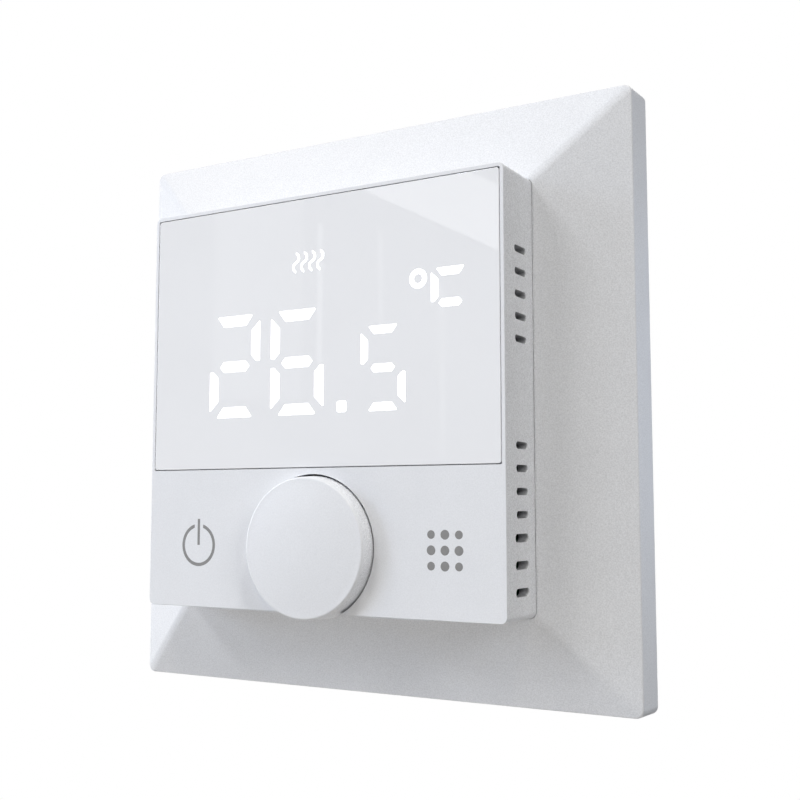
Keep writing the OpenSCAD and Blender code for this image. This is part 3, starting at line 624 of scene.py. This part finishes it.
def degree_ring(bm, turns=48):
    """Flat ring round a hole, between the glyphs' two depths."""
    rows = []
    for radius, y in (
        (DEGREE_R, GLYPH_BACK_Y), (DEGREE_R, GLYPH_FRONT_Y),
        (DEGREE_HOLE_R, GLYPH_FRONT_Y), (DEGREE_HOLE_R, GLYPH_BACK_Y),
    ):
        row = []
        for i in range(turns):
            a = 2 * math.pi * i / turns
            x = DEGREE_AT[0] + radius * math.cos(a)
            z = DEGREE_AT[1] + radius * math.sin(a)
            row.append(bm.verts.new((x * MM, y * MM, z * MM)))
        rows.append(row)
    skin(bm, rows + rows[:1])


def lit_symbols():
    """The reading and its unit, and the row of heat waves above them."""
    bm = bmesh.new()
    for at, size, lit_bars in FIGURES:
        for outline in bars(*size, lit_bars):
            prism(bm, [p + Vector(at) for p in softened(outline, GLYPH_CORNER_R)])
    point = [
        Vector((POINT_AT[0] + x * POINT_HALF, POINT_AT[1] + z * POINT_HALF))
        for x, z in ((-1, -1), (1, -1), (1, 1), (-1, 1))
    ]
    prism(bm, softened(point, POINT_CORNER_R))
    for i in range(WAVES):
        at = Vector((WAVES_AT[0] + (i - (WAVES - 1) / 2) * WAVE_PITCH, WAVES_AT[1]))
        prism(bm, [p + at for p in wave()])
    degree_ring(bm)
    finished(bm, "display_segments")


# ------------------------------------------------------------------ knob

KNOB_TURNS = 144
KNOB_WALL = 1.2
KNOB_TAPER = 0.25
KNOB_EDGE_WIDTH = 0.3
DOME_STEPS = 12
HUB_R = 3.4
HUB_SHORT = 1.0  # how far the hub stops short of the knob's base
BORE_R = 2.0
BORE_FLAT = 1.5  # distance of the bore's flat from the axis
HUB_EDGE = 0.1
RIBS = 6
RIB_SIZE = (5, 0.7, 1)
RIB_AT_R = 5.7
RIB_DEPTH = 0.25


def knob_ring(bm, radius, y, flat=None):
    """Ring of vertices round the knob's axis, cut off above a flat if there is one."""
    row = []
    for i in range(KNOB_TURNS):
        a = 2 * math.pi * i / KNOB_TURNS
        r = radius
        if flat and math.sin(a) * radius > flat:
            r = flat / math.sin(a)
        row.append(bm.verts.new((r * math.cos(a) * MM, y * MM, (KNOB_Z + r * math.sin(a)) * MM)))
    return row


def knob_cap():
    """Hollow knob with a low dome, a hub for the flatted shaft, and ribs round the hub."""
    front_r = KNOB_BASE_R - KNOB_TAPER
    face_r = front_r - KNOB_EDGE_WIDTH
    inner_r = KNOB_BASE_R - KNOB_WALL
    ceiling_y = KNOB_EDGE_Y + KNOB_WALL
    dome_r = (face_r**2 + KNOB_CROWN**2) / (2 * KNOB_CROWN)
    profile = []
    for i in range(1, DOME_STEPS + 1):
        x = face_r * i / DOME_STEPS
        y = KNOB_EDGE_Y - KNOB_CROWN + dome_r - math.sqrt(dome_r**2 - x**2)
        profile.append(Vector((x, y)))
    # radius, depth and fillet of the corners down the side, under the rim and inside
    corners = [
        (0, KNOB_EDGE_Y, 0),
        (front_r, KNOB_EDGE_Y, 0.28),
        (KNOB_BASE_R, KNOB_BASE_Y, 0.12),
        (inner_r, KNOB_BASE_Y, 0.12),
        (inner_r, ceiling_y, 0.3),
        (0, ceiling_y, 0),
    ]
    rounded = filleted([Vector(c[:2]) for c in corners], [c[2] for c in corners], 5)
    profile += rounded[1:-1]
    bm = bmesh.new()
    rows = [knob_ring(bm, p.x, p.y) for p in profile]
    skin(bm, rows)
    tip = bm.verts.new((0, KNOB_TIP_Y * MM, KNOB_Z * MM))
    roof = bm.verts.new((0, ceiling_y * MM, KNOB_Z * MM))
    for row, apex in ((rows[0], tip), (rows[-1], roof)):
        for i in range(KNOB_TURNS):
            bm.faces.new((row[i], row[(i + 1) % KNOB_TURNS], apex))
    # the hub's section: its outside, a small lip, its end and the bore
    hub_y = KNOB_BASE_Y - HUB_SHORT
    hub = [
        knob_ring(bm, HUB_R, ceiling_y - HUB_EDGE),
        knob_ring(bm, HUB_R, hub_y + HUB_EDGE),
        knob_ring(bm, HUB_R - HUB_EDGE, hub_y),
        knob_ring(bm, BORE_R + HUB_EDGE, hub_y, BORE_FLAT + HUB_EDGE),
        knob_ring(bm, BORE_R, hub_y - HUB_EDGE, BORE_FLAT),
        knob_ring(bm, BORE_R, ceiling_y - HUB_EDGE, BORE_FLAT),
    ]
    skin(bm, hub + hub[:1])
    rib = Matrix.Diagonal((*(side * MM for side in RIB_SIZE), 1))
    where = Matrix.Translation((RIB_AT_R * MM, (ceiling_y + RIB_DEPTH) * MM, 0))
    axis = Matrix.Translation((0, 0, KNOB_Z * MM))
    for k in range(RIBS):
        turn = axis @ Matrix.Rotation(math.radians(360 / RIBS * k), 4, "Y")
        bmesh.ops.create_cube(bm, size=1, matrix=turn @ where @ rib)
    finished(bm, "knob_cap")


# ------------------------------------------------------------------ all pieces

REBUILT = {
    "wall_frame": decorative_frame,
    "display_lens": lens_panel,
    "display_segments": lit_symbols,
    "knob_cap": knob_cap,
}
FILLET = 0.08
OTHER_FILLETS = {
    "front_cover": 0.1,
    "power_housing": 0.25,
    "carrier_plate": 0.12,
    "base_lid": 0.15,
    "head_rear_cover": 0.12,
    "relay": 0.4,
    "safety_capacitor": 0.4,
    "touch_icons": 0.0,
    "diffuser_film": 0.0,
    "touch_spring_power": 0.0,
    "touch_spring_menu": 0.0,
    "microcontroller": 0.05,
    "light_mask": 0.05,
    "detent_spring": 0.03,
    "frame_clips": 0.05,
}
for rebuild in REBUILT.values():
    rebuild()
for node in frame["nodes"]:
    if node not in REBUILT:
        refined(node, OTHER_FILLETS.get(node, FILLET))


# ------------------------------------------------------------------ studio

# metres and degrees, but the camera's place and lens are in millimetres
MIDDLE = Vector((0.0, -0.01, 0.0))
LAMP_DISTANCE = 2.7
CARD_DISTANCE = 0.51
BACK_LAMP_DISTANCE = 0.5
COOL = (0.85, 0.98, 1.22)
NEUTRAL = (1.0, 1.0, 1.0)
WARM = (1.12, 1.0, 0.84)
GLOW_FROM = Vector((-1, -0.2, 0))
GLOW = 0.92
FLOOR_R = 0.6
FLOOR_Z = -0.6
CAMERA_AT = Vector((83.516, -139.56, -13.828))
CAMERA_YAW = 30.115
CAMERA_PITCH = 5.362
CAMERA_LENS = 50.13


def softbox(name, azimuth, elevation, size, watts, tint=NEUTRAL, distance=LAMP_DISTANCE, roll=0.0):
    """Area light that faces the object. Azimuth 0 is straight in front, and 90 is on its right.

    Its power in red, green and blue is the watts times the tint.
    """
    a, e = math.radians(azimuth), math.radians(elevation)
    direction = Vector((math.sin(a) * math.cos(e), -math.cos(a) * math.cos(e), math.sin(e)))
    data = bpy.data.lights.new(name, "AREA")
    data.shape = "RECTANGLE"
    data.size, data.size_y = size
    data.energy = watts * max(tint)
    data.color = [share / max(tint) for share in tint]
    light = bpy.data.objects.new(name, data)
    light.location = direction * distance
    facing = (MIDDLE - direction * distance).to_track_quat("-Z", "Y").to_matrix()
    light.rotation_euler = (facing @ Matrix.Rotation(math.radians(roll), 3, "Z")).to_euler()
    scene.collection.objects.link(light)


def lamp(name, azimuth, elevation, side, watts, tint=NEUTRAL):
    """Square softbox, far enough away to light the object evenly."""
    softbox(name, azimuth, elevation, (side, side), watts, tint)


def card(name, azimuth, elevation, size, radiance, roll=0.0):
    """Bright card placed to show as a reflection in the polished panel. It adds little light."""
    watts = radiance * math.pi * size[0] * size[1]
    softbox(name, azimuth, elevation, size, watts, distance=CARD_DISTANCE, roll=roll)


def lights():
    lamp("key_left", -35, 40, 0.2, 3, COOL)
    lamp("key_right", 25, 40, 0.2, 6, WARM)
    lamp("rake_left", -60, 50, 0.45, 6, WARM)
    lamp("rake_right", 50, 65, 0.35, 26)
    lamp("top_front", -25, 35, 0.6, 13)
    lamp("fill_left", -55, 15, 0.9, 19, COOL)
    lamp("far_left", -85, 5, 0.9, 12)
    lamp("low_left", -55, -30, 0.9, 3, WARM)
    lamp("fill_right", 65, 25, 0.9, 29)
    lamp("edge_right", 145, 5, 0.9, 10, COOL)
    softbox("behind", 190, 22, (0.25, 0.25), 0.5, distance=BACK_LAMP_DISTANCE)
    card("window", -24, 18, (0.033, 0.096), 1.4, roll=65)
    card("pale_strip", -37, 13, (0.05, 0.14), 0.35)
    card("tube_left", -33, 12, (0.003, 0.08), 0.9)
    card("tube_middle", -29, 13, (0.003, 0.06), 0.5)
    card("tube_right", -25, 7, (0.003, 0.1), 0.5)


def sky():
    """White where the camera sees it. The object gets a soft glow from its left instead."""
    world = bpy.data.worlds.new("studio")
    scene.world = world
    world.use_nodes = True
    tree = world.node_tree
    ray = tree.nodes.new("ShaderNodeTexCoord").outputs["Generated"]
    facing = tree.nodes.new("ShaderNodeVectorMath")
    facing.operation = "DOT_PRODUCT"
    facing.inputs[1].default_value = GLOW_FROM.normalized()
    tree.links.new(ray, facing.inputs[0])
    level = tree.nodes.new("ShaderNodeMath")
    level.operation = "MAXIMUM"
    level.inputs[1].default_value = 0.0
    tree.links.new(facing.outputs["Value"], level.inputs[0])
    glow = tree.nodes["Background"]
    glow.inputs["Color"].default_value = (GLOW, GLOW, GLOW, 1.0)
    tree.links.new(level.outputs["Value"], glow.inputs["Strength"])
    backdrop = tree.nodes.new("ShaderNodeBackground")
    backdrop.inputs["Color"].default_value = (1.0, 1.0, 1.0, 1.0)
    rays = tree.nodes.new("ShaderNodeLightPath")
    mix = tree.nodes.new("ShaderNodeMixShader")
    tree.links.new(rays.outputs["Is Camera Ray"], mix.inputs["Fac"])
    tree.links.new(glow.outputs["Background"], mix.inputs[1])
    tree.links.new(backdrop.outputs["Background"], mix.inputs[2])
    tree.links.new(mix.outputs["Shader"], tree.nodes["World Output"].inputs["Surface"])


def floor():
    bpy.ops.mesh.primitive_circle_add(
        vertices=96, radius=FLOOR_R, fill_type="NGON", location=(0, 0, FLOOR_Z)
    )
    disc = bpy.context.object
    disc.name = "floor"
    pale = Shader("floor", roughness=0.8)
    pale.colour(pale.ramp(pale.noise(0.3), [(0.3, (0.9, 0.87, 0.83)), (0.7, (0.93, 0.9, 0.86))]))
    disc.data.materials.append(pale.material)


def camera():
    """Stands to the right of the front, just below the middle, and looks left and slightly up."""
    data = bpy.data.cameras.new("camera")
    data.sensor_width = 36.0
    data.lens = CAMERA_LENS
    data.clip_start = 0.01
    cam = bpy.data.objects.new("camera", data)
    cam.location = CAMERA_AT * MM
    pitch = math.radians(90) + math.radians(CAMERA_PITCH)
    cam.rotation_euler = (pitch, 0.0, math.radians(CAMERA_YAW))
    scene.collection.objects.link(cam)
    scene.camera = cam


lights()
sky()
floor()
camera()
scene.view_settings.view_transform = "Standard"
